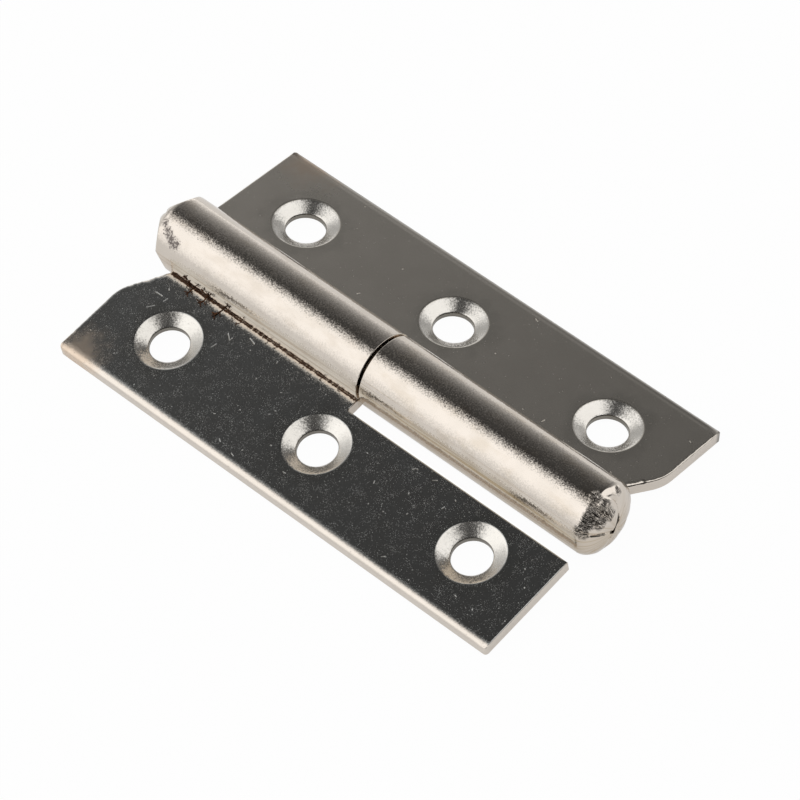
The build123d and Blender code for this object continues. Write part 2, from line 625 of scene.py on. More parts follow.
        def torn(x: float) -> float:
            """How far the shear tore the edge, most on the slant.

            Args:
                x: place across the leaf.

            Returns:
                Share of the tearing.
            """
            broad, fine = [noise.noise(Vector((x * pitch, self.seed, 0))) for pitch in (2.3, 6.0)]
            level = 0.25 + 0.55 * smooth_step(last + 1.0, last - 1.0, x)
            window = smooth_step(self.rim_reach, self.rim_reach - 1.0, x)
            window *= smooth_step(self.inner_reach, self.inner_reach + 0.4, x)
            return max(0.0, level * (1 + 1.2 * (broad + 0.5 * fine))) * window

        edge = []
        for x in spread(self.rim_reach, start, 36)[:-1]:
            edge.append(self.cut_point(x, self.knuckle_end, (0, 1), torn(x)))
        for turn in spread(0, ramp, 12):
            x = start - self.relief_round * math.sin(turn)
            y = self.knuckle_end + self.relief_round * (1 - math.cos(turn))
            edge.append(self.cut_point(x, y, (math.sin(turn), math.cos(turn)), torn(x)))
        for x in spread(last, self.inner_reach, 28)[1:-1]:
            y = self.knuckle_end + (self.relief_reach - x) * self.slope
            edge.append(self.cut_point(x, y, (math.sin(ramp), math.cos(ramp)), torn(x)))
        foot = self.root_end - self.flat_start * self.slope
        return edge + [self.cut_point(self.inner_reach, foot, (0, 1))]

    def rolled_corner(self, end: float, way: int) -> list[EdgePoint]:
        """Corner between an end of the leaf and its rolled outer edge.

        Args:
            end: place of the end along the pin.
            way: 1 at the free end, -1 at the knuckle's end.

        Returns:
            Points from the end's side to the outer side.
        """
        flat = (self.rim_reach, end - way * self.break_width)
        inset = (flat[0] - self.support, flat[1] - way * self.support)
        result = []
        for share in spread(0, 1, 8):
            turn = share * RIGHT_ANGLE
            x = self.reach - self.corner_round * (1 - math.sin(turn))
            y = end - way * self.corner_round * (1 - math.cos(turn))
            depth = self.break_depth + (self.rolled_edge_depth - self.break_depth) * share
            result.append(EdgePoint((x, y), flat, inset, depth))
        return result

    def build_flat(self, sheet: SheetMesh, upper_line: list[int], under_line: list[int]) -> None:
        """Adds the flat leaf with its sheared edges and countersunk holes.

        Args:
            sheet: mesh that gets them.
            upper_line: points of the upper side where the bend starts, from the inner to the slanted end.
            under_line: the same on the under side.
        """
        edge = self.cut_edge()
        rows = []
        for wide, deep in self.steps:
            level = [self.upper - point.depth * deep for point in edge]
            rows.append(sheet.row([
                Vector((*point.place, z)).lerp(Vector((*point.flat, z)), wide)
                for point, z in zip(edge, level)
            ]))
        rows.append(sheet.row([Vector((*point.inset, self.upper)) for point in edge]))
        sheet.skin(rows)
        lip = sheet.row([Vector((*point.place, self.upper - point.depth - self.support)) for point in edge])
        foot = sheet.row([Vector((*point.place, self.under)) for point in edge])
        sheet.skin([rows[0], lip, foot])
        upper_holes, under_holes = zip(*(self.build_hole(sheet, n * self.hole_pitch) for n in (-1, 0, 1)))
        trim = len(self.steps) + 1
        sheet.flat([sheet.without_repeats(rows[-1] + upper_line[trim:-trim][::-1]), *upper_holes])
        sheet.flat([sheet.without_repeats(foot + under_line[1:-1][::-1]), *under_holes])

    def build_hole(self, sheet: SheetMesh, along: float) -> tuple[list[int], list[int]]:
        """Adds one countersunk hole.

        Args:
            sheet: mesh that gets it.
            along: place of the hole along the pin.

        Returns:
            Its ring on the upper side and its ring on the under side.
        """
        sink, hole, land, top = self.sink_radius, self.hole_radius, self.hole_land, self.sheet
        fall = (top - land) / (sink - hole)
        profile = [(sink + 0.16, top), (sink + 0.08, top), (sink + 0.02, top - 0.008)]
        profile += [(sink - 0.04, top - 0.036), (sink - 0.1, top - 0.1 * fall - 0.004)]
        cone = spread(sink - 0.3, hole + 0.22, 4)
        profile += [(radius, land + (radius - hole) * fall) for radius in cone]
        profile += [(hole + 0.1, land + 0.045), (hole + 0.035, land - 0.01), (hole, land - 0.1)]
        profile += [(hole, land - 0.16), (hole, 0.0)]
        turns = [(math.cos(turn), math.sin(turn)) for turn in spread(0, FULL_TURN, 72)[:-1]]
        rings = [
            sheet.row([
                Vector((self.hole_reach + radius * cosine, along + radius * sine, self.under + height))
                for cosine, sine in turns
            ])
            for radius, height in profile
        ]
        sheet.skin(rings, closed=True)
        return rings[0], rings[-1]

    def build(self, material: bpy.types.Material) -> bpy.types.Object:
        """Makes the leaf and puts it in place of its CAD node.

        Args:
            material: its finish.

        Returns:
            The leaf's object.
        """
        sheet = SheetMesh()
        self.build_flat(sheet, *self.build_knuckle(sheet))
        name = self.side.value + "_sheet"
        piece = add_object(name, sheet.mesh(name, self.place(), 34), material)
        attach(piece, self.side.value)
        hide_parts(self.side.value)
        return piece


@dataclass
class HingePin:
    """Round pin that stands out of the fixed knuckle into the lifting one."""

    radius: float = 2.8
    seat: float = 28.95
    tip: float = -24.0
    chamfer: float = 0.6
    axis_height: float = 4.25

    def build(self, material: bpy.types.Material) -> bpy.types.Object:
        """Makes the pin and puts it in place of its CAD node.

        Args:
            material: its finish.

        Returns:
            The pin's object.
        """
        sheet = SheetMesh()
        full, flat, chamfer = self.radius, self.radius - self.chamfer, self.chamfer
        half = [(0.02, 0.0), (flat - 0.08, 0.0), (flat - 0.02, 0.015), (flat + 0.04, 0.06)]
        half += [(full - 0.08, chamfer - 0.1), (full - 0.02, chamfer - 0.02)]
        half += [(full, chamfer + 0.06), (full, chamfer + 0.3)]
        profile = [(radius, self.tip + depth) for radius, depth in half]
        profile += [(full, along) for along in spread(self.tip + 2, self.seat - 2, 24)]
        profile += [(radius, self.seat - depth) for radius, depth in half[::-1]]
        turns = spread(0, FULL_TURN, 96)[:-1]
        rings = [
            sheet.row([around(radius, turn, along, self.axis_height) for turn in turns])
            for radius, along in profile
        ]
        sheet.skin(rings, closed=True)
        sheet.faces += [tuple(rings[0]), tuple(rings[-1])]
        place = Matrix.Scale(MILLIMETRE, 4)
        piece = add_object("hinge_pin_rod", sheet.mesh("hinge_pin_rod", place, 40), material)
        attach(piece, "hinge_pin")
        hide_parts("hinge_pin")
        return piece


class NodeSheet:
    """Adds and joins the nodes of one tree. A value is a number, a triple or another node's output."""

    def __init__(self, tree: bpy.types.NodeTree) -> None:
        """Starts on an empty tree."""
        self.tree = tree
        tree.nodes.clear()

    def feed(self, socket: Socket, value: object) -> None:
        """Links another node's output to a socket, or sets the socket's own value.

        Args:
            socket: input of a node.
            value: output, number, triple or other setting.
        """
        if isinstance(value, Socket):
            self.tree.links.new(value, socket)
        elif socket.type == "RGBA":
            socket.default_value = (*value, 1.0)
        else:
            socket.default_value = value

    def add(self, kind: str, inputs: dict | None = None, **settings: object) -> bpy.types.Node:
        """Adds a node.

        Args:
            kind: Blender's name for the kind of node.
            inputs: values of its sockets, by name or number.
            settings: properties to set on it.

        Returns:
            The node.
        """
        node = self.tree.nodes.new(kind)
        for name, value in settings.items():
            setattr(node, name, value)
        for name, value in (inputs or {}).items():
            self.feed(node.inputs[name], value)
        return node

    def out(self, kind: str, output: str | int, inputs: dict | None = None, **settings: object) -> Socket:
        """Adds a node as add does, and returns one of its outputs, by name or number."""
        return self.add(kind, inputs, **settings).outputs[output]

    def math(self, operation: str, *values: Value, clamp: bool = False) -> Socket:
        """Adds a sum by Blender's name for it, with its result kept between 0 and 1 if asked."""
        return self.out("ShaderNodeMath", 0, dict(enumerate(values)), operation=operation, use_clamp=clamp)

    def times(self, *values: Value) -> Socket:
        """Adds a product of two or more numbers."""
        return reduce(lambda one, other: self.math("MULTIPLY", one, other), values)

    def scaled(self, value: Value, share: Value, start: Value, clamp: bool = False) -> Socket:
        """Adds a share of a value to a starting value."""
        return self.math("MULTIPLY_ADD", value, share, start, clamp=clamp)

    def most(self, *values: Value) -> Socket:
        """Adds the greatest of two or more numbers."""
        return reduce(lambda one, other: self.math("MAXIMUM", one, other), values)

    def blend(self, share: Value, one: Value, other: Value) -> Socket:
        """Adds a mix of two numbers."""
        return self.math("ADD", one, self.times(share, self.math("SUBTRACT", other, one)))

    def step(
        self, value: Value, low: Value, high: Value, out_low: Value = 0.0, out_high: Value = 1.0
    ) -> Socket:
        """Adds a smooth rise between two values.

        Args:
            value: what is read.
            low: where the rise starts.
            high: where it ends.
            out_low: result before it.
            out_high: result after it.

        Returns:
            The result's output.
        """
        limits = {"From Min": low, "From Max": high, "To Min": out_low, "To Max": out_high}
        inputs = {"Value": value, **limits}
        return self.out("ShaderNodeMapRange", "Result", inputs, interpolation_type="SMOOTHSTEP")

    def noise(self, vector: Value, scale: Value, detail: float = 2.0, rough: float = 0.5) -> Socket:
        """Adds a noise texture, about 0.5 on average, with a number of finer layers and their strength."""
        inputs = {"Vector": vector, "Scale": scale, "Detail": detail, "Roughness": rough}
        return self.out("ShaderNodeTexNoise", "Fac", inputs)

    def stretch(
        self, vector: Value, scale: Triple, turn: Triple = (0.0, 0.0, 0.0), shift: Triple = (0.0, 0.0, 0.0)
    ) -> Socket:
        """Adds a mapping that stretches, turns and shifts a place."""
        inputs = {"Vector": vector, "Scale": scale, "Rotation": turn, "Location": shift}
        return self.out("ShaderNodeMapping", "Vector", inputs)

    def streaks(self, vector: Value, scale: Triple, detail: float, shift: float = 0.0) -> Socket:
        """Adds a rough noise that is drawn out, for streaks and clouds."""
        return self.noise(self.stretch(vector, scale, shift=(shift, 0.0, 0.0)), 1.0, detail, 0.6)

    def mix(self, share: Value, one: Value, other: Value) -> Socket:
        """Adds a mix of two colours."""
        return self.out("ShaderNodeMix", 2, {0: share, 6: one, 7: other}, data_type="RGBA")

    def vector(self, operation: str, output: str, inputs: tuple[Value, ...], **scale: Value) -> Socket:
        """Adds a sum of places or directions, with a Scale where the operation takes one."""
        values = {**dict(enumerate(inputs)), **scale}
        return self.out("ShaderNodeVectorMath", output, values, operation=operation)

    def parts(self, vector: Value) -> tuple[Socket, ...]:
        """Adds a split of a place into its three numbers."""
        return tuple(self.add("ShaderNodeSeparateXYZ", {0: vector}).outputs)

    def millimetres(self) -> Socket:
        """Adds the place on the object, in millimetres."""
        return self.stretch(self.out("ShaderNodeTexCoord", "Object"), (1 / MILLIMETRE,) * 3)

    def group(self, tree: bpy.types.NodeTree, **values: Value) -> bpy.types.Node:
        """Places a node group with its own values, which are named as its inputs are."""
        return self.add("ShaderNodeGroup", values, node_tree=tree)

    def give(self, **values: Socket) -> None:
        """Ends a node group with the values of its outputs."""
        self.add("NodeGroupOutput", values)

    def surface(self, tone: Value, shine: Value, metallic: Value, bump: dict[str, Value]) -> None:
        """Ends a material with a bumped surface.

        Args:
            tone: its colour.
            shine: its roughness.
            metallic: share of bare metal.
            bump: Height in millimetres, and the Normal under it where it isn't plain.
        """
        normal = self.out("ShaderNodeBump", "Normal", {"Distance": MILLIMETRE, **bump})
        inputs = {"Base Color": tone, "Metallic": metallic, "Roughness": shine, "Normal": normal}
        shader = self.out("ShaderNodeBsdfPrincipled", "BSDF", inputs)
        self.add("ShaderNodeOutputMaterial", {"Surface": shader})


def new_material(name: str) -> bpy.types.Material:
    """Makes a material that has nodes.

    Args:
        name: its name.

    Returns:
        The material.
    """
    result = bpy.data.materials.new(name)
    result.use_nodes = True
    return result


def new_group(
    name: str, inputs: dict[str, str], outputs: dict[str, str], kind: str = "ShaderNodeTree"
) -> tuple[NodeSheet, dict[str, Socket]]:
    """Starts a node group.

    Args:
        name: name of the group.
        inputs: kind of each named input, such as Float or Vector.
        outputs: kind of each named output.
        kind: Blender's name for the kind of tree.

    Returns:
        The group's nodes and its inputs by name.
    """
    tree = bpy.data.node_groups.new(name, kind)
    for way, sockets in (("INPUT", inputs), ("OUTPUT", outputs)):
        for label, socket in sockets.items():
            tree.interface.new_socket(label, in_out=way, socket_type="NodeSocket" + socket)
    sheet = NodeSheet(tree)
    entry = sheet.add("NodeGroupInput")
    return sheet, {label: entry.outputs[label] for label in inputs}


class WearGroups:
    """Shader node groups that the plated and the bare steel share."""

    def __init__(self) -> None:
        """Builds each group once."""
        self.grain = self.build_grain()
        self.flecks = self.build_flecks()
        self.scratches = self.build_scratches()
        self.stain = self.build_stain()

    @staticmethod
    def build_grain() -> bpy.types.NodeTree:
        """Fine unevenness of the metal under its plating, as a tilt of the surface from grain to grain.

        Returns:
            The group.
        """
        inputs = {"Place": "Vector", "Fineness": "Float", "Tilt": "Float"}
        sheet, given = new_group("plating_grain", inputs, {"Normal": "Vector", "Tone": "Float"})
        grains = {"Vector": given["Place"], "Scale": given["Fineness"], "Detail": 1.0}
        lean = sheet.out("ShaderNodeTexNoise", "Color", grains)
        lean = sheet.vector("SUBTRACT", "Vector", (lean, (0.5, 0.5, 0.5)))
        lean = sheet.vector("SCALE", "Vector", (lean,), Scale=given["Tilt"])
        normal = sheet.vector("ADD", "Vector", (sheet.out("ShaderNodeNewGeometry", "Normal"), lean))
        sheet.give(
            Normal=sheet.vector("NORMALIZE", "Vector", (normal,)), Tone=sheet.noise(given["Place"], 0.35)
        )
        return sheet.tree

    @staticmethod
    def build_flecks() -> bpy.types.NodeTree:
        """Tiny pale flecks, singly and in clusters.

        Returns:
            The group.
        """
        inputs = {"Place": "Vector", "Fineness": "Float", "Share": "Float"}
        sheet, given = new_group("flecks", inputs, {"Mask": "Float"})
        places = {"Vector": given["Place"], "Scale": given["Fineness"], "Randomness": 1.0}
        cells = sheet.add("ShaderNodeTexVoronoi", places, feature="F1")
        red, green, _ = sheet.parts(cells.outputs["Color"])
        cluster = sheet.step(sheet.noise(given["Place"], 0.9, 3.0, 0.6), 0.42, 0.68, 0.15, 1.7)
        limit = sheet.math("SUBTRACT", 1.0, sheet.times(given["Share"], cluster))
        size = sheet.scaled(green, 0.3, 0.16)
        dot = sheet.step(cells.outputs["Distance"], size, sheet.times(size, 0.4))
        sheet.give(Mask=sheet.times(dot, sheet.math("GREATER_THAN", red, limit)))
        return sheet.tree

    @staticmethod
    def build_scratches() -> bpy.types.NodeTree:
        """Short straight hairline scratches, one in a cell, that lie about three directions.

        Returns:
            The group.
        """
        sheet, given = new_group("scratches", {"Place": "Vector", "Share": "Float"}, {"Mask": "Float"})
        hairs = []
        for turn, shift in ((0.6, 0.0), (-0.8, 7.0), (1.9, 3.0)):
            turned = sheet.stretch(given["Place"], (1.0, 1.0, 1.0), (0.0, 0.0, turn), (shift, shift, 0.0))
            places = {"Vector": turned, "Scale": 0.55}
            cells = sheet.add("ShaderNodeTexVoronoi", places, feature="F1", voronoi_dimensions="2D")
            off = sheet.vector("SUBTRACT", "Vector", (turned, cells.outputs["Position"]))
            long, wide, _ = sheet.parts(off)
            red, green, blue = sheet.parts(cells.outputs["Color"])
            wide = sheet.math("ABSOLUTE", sheet.scaled(long, sheet.scaled(blue, 1.0, -0.5), wide))
            half = sheet.scaled(sheet.math("POWER", green, 4.0), 0.5, 0.08)
            ends = sheet.step(sheet.math("ABSOLUTE", long), half, sheet.times(half, 0.5))
            chosen = sheet.math("LESS_THAN", red, given["Share"])
            hairs.append(sheet.times(sheet.step(wide, 0.07, 0.015), ends, chosen))
        sheet.give(Mask=sheet.most(*hairs))
        return sheet.tree

    @staticmethod
    def build_stain() -> bpy.types.NodeTree:
        """Uneven patch round a point.

        Returns:
            The group.
        """
        inputs = {"Place": "Vector", "Centre": "Vector", "Radius": "Float", "Ragged": "Float"}
        sheet, given = new_group("stain", inputs, {"Mask": "Float"})
        gap = sheet.vector("DISTANCE", "Value", (given["Place"], given["Centre"]))
        broken = sheet.math("SUBTRACT", sheet.noise(given["Place"], 0.8, 4.0, 0.6), 0.5)
        reach = sheet.scaled(broken, given["Ragged"], gap)
        sheet.give(Mask=sheet.step(sheet.math("DIVIDE", reach, given["Radius"]), 1.0, 0.15))
        return sheet.tree


class LeafNodes(NodeSheet):
    """Nodes of a leaf's finish, which know the places and the regions of the leaf."""

    def __init__(self, tree: bpy.types.NodeTree, leaf: RolledLeaf, wear: WearGroups) -> None:
        """Adds the place in the leaf's frame, the place on the unrolled barrel and a mask for each region.

        Args:
            tree: the material's tree.
            leaf: leaf that wears the finish.
            wear: shared node groups.
        """
        super().__init__(tree)
        self.leaf, self.wear = leaf, wear
        back = leaf.place().inverted()
        here = self.out("ShaderNodeTexCoord", "Object")
        turn, shift = tuple(back.to_euler("XYZ")), tuple(back.translation)
        self.place = self.stretch(here, (1 / MILLIMETRE,) * 3, turn, shift)
        self.across, self.along, self.up = self.parts(self.place)
        girth = self.times(self.math("ARCTAN2", self.up, self.across), leaf.barrel_radius)
        self.unrolled = self.out("ShaderNodeCombineXYZ", 0, {0: girth, 1: self.along})
        self.roll = self.step(self.across, leaf.barrel_radius + 0.1, leaf.barrel_radius - 0.1)
        self.flat = self.step(self.across, leaf.barrel_radius + 0.2, leaf.barrel_radius + 0.6)
        self.face = self.times(self.flat, self.step(self.up, leaf.upper - 0.06, leaf.upper - 0.01))
        beside = self.math("WRAP", self.along, leaf.hole_pitch / 2, -leaf.hole_pitch / 2)
        away = self.math("SUBTRACT", self.across, leaf.hole_reach)
        self.hole_gap = self.math("SQRT", self.scaled(away, away, self.times(beside, beside)))
        sink = self.step(self.hole_gap, leaf.sink_radius + 0.05, leaf.sink_radius - 0.1)
        self.sink = self.times(self.flat, sink, self.step(self.up, leaf.under + 0.02, leaf.under + 0.12))

    def wear_mask(self, group: bpy.types.NodeTree, **values: Value) -> Socket:
        """Adds a shared group of wear at the leaf's place and returns its mask."""
        return self.group(group, Place=self.place, **values).outputs["Mask"]

    def more_at_holes(self, share: float, gain: float) -> Socket:
        """Adds a share of wear that grows by a factor towards the screw holes."""
        sink = self.leaf.sink_radius
        return self.step(self.hole_gap, sink + 2.0, sink, share, share * gain)


@dataclass(frozen=True)
class NickelPlate:
    """Bright nickel on rolled steel, with the wear of one leaf and some painted shade."""

    name: str
    base: Colour = (0.73, 0.665, 0.595)
    flat_base: Colour = (0.72, 0.675, 0.6)
    sink_base: Colour = (0.76, 0.73, 0.68)
    roughness: float = 0.1
    flat_roughness: float = 0.13
    grain_fineness: float = 6.8
    grain_tilt: float = 0.3
    grain_fade: Pair = (0.3, -1.2)
    rubbed_share: float = 0.35
    flat_grain: float = 0.5
    fleck_share: float = 0.3
    fleck_fineness: Pair = (11.0, 6.0)
    bold_fleck_share: float = 0.13
    fine_fleck_weight: float = 0.6
    fleck_gain: float = 1.5
    fleck_spread: Pair = (0.85, 0.15)
    fleck_dull: float = 0.75
    fleck_depth: float = 0.004
    scratch_share: float = 0.5
    scratch_gain: float = 1.2
    scratch_dull: float = 0.55
    scratch_depth: float = 0.03
    # Painted shade on the lip and wall of each screw hole
    wall_shade_tone: Colour = (0.13, 0.12, 0.1)
    wall_shade_fade: Pair = (0.1, 0.02)
    wall_shade_strength: float = 0.85
    halo_tone: Colour = (0.35, 0.34, 0.3)
    halo_fineness: float = 0.5
    halo_ragged: float = 4.0
    halo_reach: float = 1.8
    halo_strength: float = 0.25
    cloud_tone: Colour = (0.5, 0.46, 0.4)
    cloud_rise: Rise = (0.35, 0.65, 0.0, 0.12)
    rust_width: float = 0.22
    rust_shares: Pair = (0.62, 1.1)
    rust_taper: float = 11.0
    rust_lift: float = 0.04
    rust_thin: float = 4.0
    rust_fineness: float = 2.6
    rust_ragged: float = 0.65
    rust_edge: Pair = (1.0, 0.6)
    rust_tone: Colour = (0.085, 0.04, 0.018)
    rust_dull: float = 0.6
    stain_centre: Triple = (17.5, -28.0, -0.8)
    stain_radius: float = 5.0
    stain_ragged: float = 5.0
    stain_strength: float = 0.7
    stain_tone: Colour = (0.6, 0.45, 0.32)
    stain_dull: float = 0.35
    streak_tone: Colour = (0.45, 0.36, 0.26)
    streak_detail: float = 3.0
    dirt_pitch: Triple = (2.4, 0.035, 1.0)
    dirt_rise: Rise = (0.5, 0.66, 0.0, 0.6)
    dirt_fade: Rise = (2.3, 1.2)
    # Even darkening towards the bottom of the barrel
    low_darkening: Rise = (1.6, 0.0, 0.0, 0.25)
    haze_pitch: Triple = (0.55, 0.24, 1.0)
    haze_shift: float = 3.0
    haze_rise: Rise = (0.45, 0.72, 0.0, 0.22)
    rolling_pitch: Triple = (1.5, 0.03, 1.0)
    rolling_fade: Pair = (2.6, 1.0)
    rolling_depth: float = 0.012
    # Painted shade along the rolled outer edge, which dims the reflection there
    rim_shade_strength: float = 0.0
    rim_shade_tone: Colour = (0.2, 0.19, 0.17)
    rim_shade_fade: Pair = (1.0, 0.45)
    sink_dull: float = 0.12
    scuff_kind: ScuffKind = ScuffKind.NEEDLES
    # Dark patch of a crimped end: partly scuffed metal, partly painted shade
    scuff_shade_tone: Colour = (0.025, 0.022, 0.018)
    scuff_shade_strength: float = 0.92
    scuff_dull: float = 0.12
    scuff_ragged: float = 1.6
    scuff_rise: Pair = (0.02, 0.75)
    speck_fineness: float = 4.5
    speck_gather: float = 0.3
    speck_rise: Pair = (0.62, 0.8)
    speck_edge: Pair = (0.0, 0.12)
    shade_veil_rise: Rise = (0.05, 0.8, 0.0, 0.38)
    needle_turns: Pair = (0.7, -0.6)
    needle_pitch: Triple = (4.5, 0.9, 1.0)
    needle_width: Pair = (0.04, 0.012)
    needle_strength: float = 1.0
    needle_height: float = 0.05

    def material(self, leaf: RolledLeaf, wear: WearGroups) -> bpy.types.Material:
        """Builds the finish of a leaf from its regions and the shared groups of wear.

        Args:
            leaf: leaf that wears it.
            wear: shared node groups.

        Returns:
            The material.
        """
        result = new_material(self.name)
        on = LeafNodes(result.node_tree, leaf, wear)
        tilt = on.step(on.across, *self.grain_fade, self.grain_tilt, self.grain_tilt * self.rubbed_share)
        tilt = on.step(on.flat, 0.0, 1.0, tilt, self.grain_tilt * self.flat_grain)
        tilt = on.most(tilt, on.times(on.sink, self.grain_tilt))
        grain = on.group(wear.grain, Place=on.place, Fineness=self.grain_fineness, Tilt=tilt).outputs
        flecks = self.flecks(on)
        share = on.more_at_holes(self.scratch_share, self.scratch_gain)
        scratches = on.times(on.wear_mask(wear.scratches, Share=share), on.face)
        stain = {"Centre": self.stain_centre, "Radius": self.stain_radius, "Ragged": self.stain_ragged}
        stain = on.times(on.wear_mask(wear.stain, **stain), self.stain_strength)
        # Dark patches of the crimped ends, partly scuffed metal and partly painted shade
        scuff, needles = self.crimp_scuff_and_shade(on)
        bare = on.scaled(needles, -self.needle_strength, self.scuff_shade_strength)
        rust = self.seam_rust(on)
        # Painted shade on the lip and wall of each screw hole, strongest at the hole's edge
        edges = [leaf.hole_radius + margin for margin in self.wall_shade_fade]
        wall = on.step(on.hole_gap, *edges, 0.0, self.wall_shade_strength)
        # Painted shade along the rolled outer edge, which dims its reflection
        edges = [leaf.reach - margin for margin in self.rim_shade_fade]
        rim_shade_mask = on.step(on.across, *edges, 0.0, self.rim_shade_strength)
        cloud = on.math("SUBTRACT", on.noise(on.place, self.halo_fineness), 0.5)
        ragged = on.scaled(cloud, self.halo_ragged, on.hole_gap)
        halo = on.step(ragged, leaf.sink_radius + self.halo_reach, leaf.sink_radius, 0.0, self.halo_strength)
        layers = (
            (on.sink, self.sink_base),
            (on.times(wall, on.flat), self.wall_shade_tone),
            (on.face, self.flat_base),
            (self.streaks_and_low_darkening(on), self.streak_tone),
            (on.times(halo, on.face), self.halo_tone),
            (rim_shade_mask, self.rim_shade_tone),
            (on.step(grain["Tone"], *self.cloud_rise), self.cloud_tone),
            (stain, self.stain_tone),
            (on.math("MULTIPLY", scuff, bare, clamp=True), self.scuff_shade_tone),
            (rust, self.rust_tone),
        )
        tone = self.base
        for mask, colour in layers:
            tone = on.mix(mask, tone, colour)
        shine = on.step(on.face, 0.0, 1.0, self.roughness, self.flat_roughness)
        masks = (on.sink, flecks, scratches, stain, scuff, rust)
        dulling = (self.sink_dull, self.fleck_dull, self.scratch_dull, self.stain_dull, self.scuff_dull)
        for mask, dull in zip(masks, (*dulling, self.rust_dull)):
            shine = on.scaled(mask, dull, shine, clamp=True)
        height = on.times(scuff, needles, self.needle_height * self.needle_strength)
        height = on.scaled(scratches, -self.scratch_depth, height)
        height = on.scaled(on.times(flecks, on.face), -self.fleck_depth, height)
        height = on.math("ADD", height, self.roll_marks(on))
        bump = {"Height": height, "Normal": grain["Normal"]}
        on.surface(tone, shine, on.math("SUBTRACT", 1.0, rust), bump)
        return result

    def flecks(self, on: LeafNodes) -> Socket:
        """Mask of the fine and the bold flecks, which are few on the barrel and dense round the holes.

        Args:
            on: nodes of the leaf's finish.

        Returns:
            The mask's output.
        """
        dense = on.more_at_holes(self.fleck_share, self.fleck_gain)
        shares = (dense, self.fleck_share * self.bold_fleck_share)
        fine, bold = [
            on.wear_mask(on.wear.flecks, Fineness=fineness, Share=share)
            for fineness, share in zip(self.fleck_fineness, shares)
        ]
        both = on.scaled(fine, self.fine_fleck_weight, bold)
        return on.times(both, on.scaled(on.flat, *self.fleck_spread))

    def roll_marks(self, on: LeafNodes) -> Socket:
        """Height in millimetres of the streaks that rolling left low on the barrel."""
        streak = on.streaks(on.unrolled, self.rolling_pitch, self.streak_detail)
        return on.times(streak, on.step(on.up, *self.rolling_fade, 0.0, self.rolling_depth), on.roll)

    def streaks_and_low_darkening(self, on: LeafNodes) -> Socket:
        """Mask of the dirt that lies in long streaks and faint clouds on the barrel, and of an even darkening
        towards its bottom.

        Args:
            on: nodes of the leaf's finish.

        Returns:
            The mask's output.
        """
        fine = on.streaks(on.unrolled, self.dirt_pitch, self.streak_detail)
        streak = on.times(on.step(fine, *self.dirt_rise), on.step(on.up, *self.dirt_fade))
        haze = on.streaks(on.unrolled, self.haze_pitch, self.streak_detail, self.haze_shift)
        cloud = on.step(haze, *self.haze_rise)
        # Darker towards the bottom of the barrel
        low = on.step(on.up, *self.low_darkening)
        return on.times(on.math("ADD", on.math("ADD", streak, cloud), low, clamp=True), on.roll)

    def crimp_scuff_and_shade(self, on: LeafNodes) -> tuple[Value, Value]:
        """Masks of the dull patches on the crimped end, partly scuff and partly painted shade, and of the
        bright needles left in them.

        Args:
            on: nodes of the leaf's finish.

        Returns:
            The two masks.
        """
        patch = on.most(*(
            on.wear_mask(on.wear.stain, Centre=scuff.middle, Radius=scuff.radius, Ragged=self.scuff_ragged)
            for scuff in on.leaf.scuffs
        ))
        if self.scuff_kind is ScuffKind.SPECKS:
            speck = on.noise(on.place, self.speck_fineness, 2.0, 0.6)
            speck = on.step(on.scaled(patch, self.speck_gather, speck), *self.speck_rise)
            speck = on.times(speck, on.step(patch, *self.speck_edge))
            # The soft veil over the whole patch is painted shade
            return on.most(speck, on.step(patch, *self.shade_veil_rise)), 0.0
        needles = []
        for turn in self.needle_turns:
            value = on.noise(on.stretch(on.unrolled, self.needle_pitch, (0.0, 0.0, turn)), 1.0, 1.0)
            off = on.math("ABSOLUTE", on.math("SUBTRACT", value, 0.5))
            needles.append(on.step(off, *self.needle_width))
        return on.step(patch, *self.scuff_rise), on.most(*needles)

    def seam_rust(self, on: LeafNodes) -> Socket:
        """Mask of the rust that creeps out of the seam onto the leaf and the roll.

        Args:
            on: nodes of the leaf's finish.

        Returns:
            The mask's output.
        """
        leaf = on.leaf
        gap = on.math("ABSOLUTE", on.math("SUBTRACT", on.across, leaf.seam_reach))
        lift = on.most(on.math("SUBTRACT", on.up, leaf.upper + self.rust_lift), 0.0)
        broken = on.math("SUBTRACT", on.noise(on.place, self.rust_fineness, 4.0, 0.7), 0.5)
        away = on.scaled(broken, self.rust_ragged, on.scaled(lift, self.rust_thin, gap))
        ends = (leaf.root_end + self.rust_taper, leaf.root_end)
        wide = on.step(on.along, *ends, *(self.rust_width * share for share in self.rust_shares))
        line = on.step(on.math("DIVIDE", away, wide), *self.rust_edge)
        inside = on.math("LESS_THAN", on.along, leaf.inner_end)
        return on.times(line, inside, on.math("GREATER_THAN", on.along, leaf.root_end))


